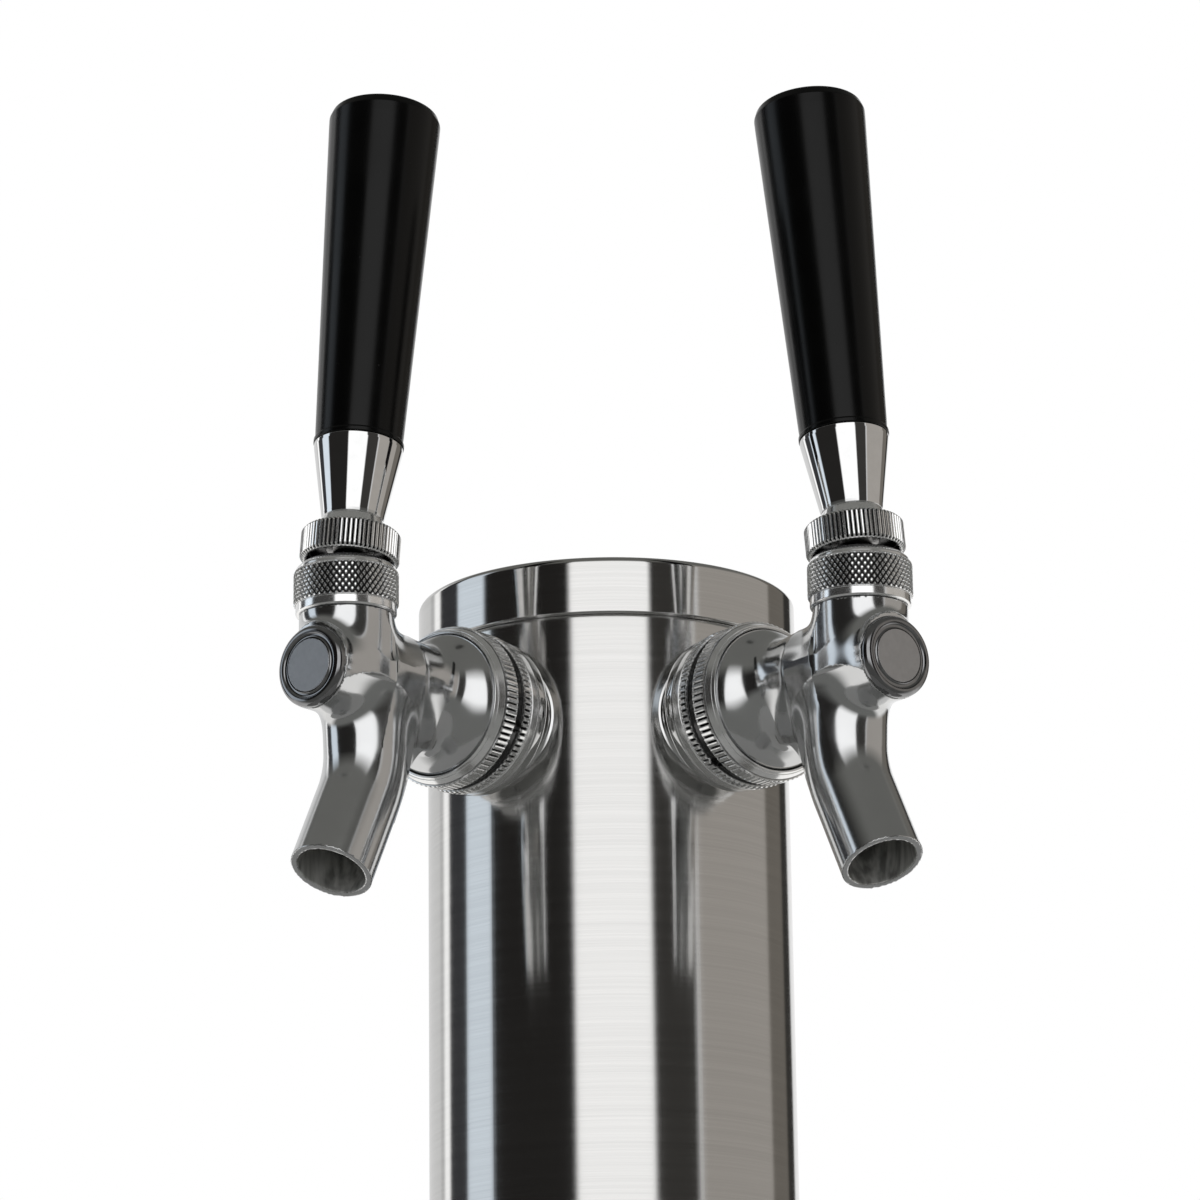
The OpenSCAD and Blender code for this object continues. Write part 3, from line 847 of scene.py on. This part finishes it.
def ferrules(mats, levers):
    points = outline([
        (5.0, 16.65, 0), (6.15, 16.65, 0.3), (6.35, 17.4, 0.6), (8.95, 32.0, 0.6),
        (9.0, 32.75, 0.15), (5.65, 32.75, 0), (5.65, 20, 0), (5.0, 20, 0)], 5)
    each_side("ferrule", "handle_ferrule", revolve(points, 192), levers,
              mats["mirror_chrome"], "mirror_chrome", "handle")


def grips(mats, levers):
    """Tapered handle with a thin lip at its foot and a rounded top."""
    top = 107.8
    points = outline([
        (0, top, 0), (0, 42, 0), (5.65, 42, 0.2), (5.65, 32.85, 0.1), (9.15, 32.85, 0.25),
        (9.15, 33.75, 0.3), (8.85, 34.0, 0.12), (8.95, 35.5, 0), (11.45, top - 4.4, 1.5),
        (11.5, top - 2.2, 1.0), (10.9, top - 0.6, 1.1), (9.6, top, 2.0)], 7)
    each_side("grip", "handle_grip", revolve(points, 224), levers, mats["black_plastic"],
              "black_plastic", "handle", angle=50, bake=True)


# ---------------------------------------------------------------- carried CAD nodes

def carried(frame, mats):
    """Gives each CAD node that still shows its material, by its slot in the list below."""
    slots = {
        "shank": "turned_steel", "shank_locknut": "turned_steel", "elbow_tailpiece": "turned_steel",
        "valve_shaft": "turned_steel", "shaft_nut": "turned_steel", "lever": "turned_steel",
        "coupling_washer": "black_rubber", "plug_oring": "black_rubber",
        "seat_washer": "black_rubber", "ball_washer": "white_nylon",
        "friction_washer": "white_nylon", "handle_insert": "brass",
        "base_gasket": "black_rubber", "insulation_sleeve": "foam",
    }
    for name, obj in frame["nodes"].items():
        if obj.hide_render:
            continue
        side, _, rest = name.partition("_")
        slot = slots[rest if side in SIDES else name]
        obj.data.materials.clear()
        obj.data.materials.append(mats[slot])


# ---------------------------------------------------------------- studio

def sector_ramp(n, azimuth, sectors, soft):
    """Colour by azimuth. Each sector runs from its own angle to the next one's, in degrees."""
    stops, ends = [], [start for start, colour in sectors[1:]] + [180 + soft]
    for i, ((start, colour), end) in enumerate(zip(sectors, ends)):
        first = start if i == 0 else start + soft
        stops += [((first + 180) / 360, colour), ((end - soft + 180) / 360, colour)]
    turn = n.math("ADD", n.math("DIVIDE", azimuth, 2 * math.pi), 0.5)
    return n.ramp(turn, stops)


def world():
    """Soft boxes and dark gaps all round, dimmer overhead and below. Azimuth 0 is the camera's
    side and 90 is +X. The camera itself sees plain white."""
    w = bpy.data.worlds.new("studio")
    bpy.context.scene.world = w
    w.use_nodes = True
    n = Nodes(w.node_tree)
    out = n.add("ShaderNodeOutputWorld")
    split = n.add("ShaderNodeSeparateXYZ", {0: n.add("ShaderNodeTexCoord").outputs["Generated"]})
    x, y, z = split.outputs
    azimuth = n.math("ARCTAN2", x, n.math("MULTIPLY", y, -1.0))
    white, dark = grey(1.3), (0.02, 0.019, 0.018)
    band = sector_ramp(n, azimuth, [
        (-180, grey(0.75)), (-136, grey(0.6)), (-130, white), (-122, (0.045, 0.046, 0.05)),
        (-102.5, (0.84, 0.93, 1.02)), (-79.5, dark), (-22, white), (26.5, (0.045, 0.043, 0.04)),
        (55, grey(0.75)), (58, (0.415, 0.39, 0.36)), (118, (0.18, 0.165, 0.145)),
        (140, (0.04, 0.038, 0.035)), (154, grey(0.95)),
    ], 1.2)
    below = n.mix(n.between(y, -0.1, 0.25), (0.17, 0.172, 0.165, 1), (0.95, 0.94, 0.92, 1))
    low = n.mix(n.between(z, -0.26, -0.02), below, band)
    sky = n.mix(n.between(z, 0.46, 0.72), low, (0.16, 0.16, 0.15, 1))
    shader = n.add("ShaderNodeMixShader", {
        0: n.add("ShaderNodeLightPath").outputs["Is Camera Ray"],
        1: n.add("ShaderNodeBackground", {0: sky}).outputs[0],
        2: n.add("ShaderNodeBackground", {0: (1, 1, 1, 1)}).outputs[0]})
    n.put(out.inputs[0], shader.outputs[0])


def floor():
    """Pale disc just under the base, lit a little from within where the camera sees it."""
    mesh = bpy.data.meshes.new("floor")
    sides, r, z = 128, 0.34, -0.0002
    ring = [(r * math.cos(2 * math.pi * i / sides), r * math.sin(2 * math.pi * i / sides), z)
            for i in range(sides)]
    mesh.from_pydata(ring, [], [tuple(range(sides))])
    obj = bpy.data.objects.new("floor", mesh)
    bpy.context.scene.collection.objects.link(obj)
    m, n, shader, coord = surface("floor", 0.0, Roughness=0.7)
    n.put(shader.inputs["Base Color"], n.ramp(
        n.noise(coord, 30, 3.0, 0.5), [(0.3, grey(0.80)), (0.7, grey(0.84))]))
    seen = n.add("ShaderNodeLightPath").outputs["Is Camera Ray"]
    n.put(shader.inputs["Emission Strength"], n.math("MULTIPLY", seen, 0.62))
    shader.inputs["Emission Color"].default_value = (1, 1, 1, 1)
    mesh.materials.append(m)


def camera():
    """Long lens about a metre away, low and looking up a little."""
    data = bpy.data.cameras.new("camera")
    cam = bpy.data.objects.new("camera", data)
    bpy.context.scene.collection.objects.link(cam)
    data.sensor_width, data.lens = 36, 143.8
    data.shift_x, data.shift_y = 0.0152, -0.0084
    data.clip_start, data.clip_end = 0.01, 50
    yaw, pitch, roll = -0.0141, 0.2840, -0.0123
    forward = Vector((math.sin(yaw) * math.cos(pitch), math.cos(yaw) * math.cos(pitch),
                      math.sin(pitch)))
    level = Vector((math.cos(yaw), -math.sin(yaw), 0))
    upright = level.cross(forward)
    right = math.sin(roll) * upright + math.cos(roll) * level
    up = math.cos(roll) * upright - math.sin(roll) * level
    turn = Matrix((right, up, -forward)).transposed().to_4x4()
    stand = (0.00869, -0.98383, 0.07168)
    cam.matrix_world = Matrix.Translation(stand) @ turn
    bpy.context.scene.camera = cam


def corners(box):
    return [[float(c) for c in corner] for corner in box]


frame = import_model()
bpy.context.scene.view_settings.view_transform = "Standard"
camera()
world()
floor()
shanks, levers = layout(frame)
mats = materials(shanks)
column(mats, shanks)
cap(mats)
base(mats)
faucet_bodies(mats, shanks)
coupling_nuts(mats, shanks)
bonnets(mats, shanks)
collars(mats, levers)
plugs(mats, shanks)
flanges(mats, shanks)
ferrules(mats, levers)
grips(mats, levers)
carried(frame, mats)
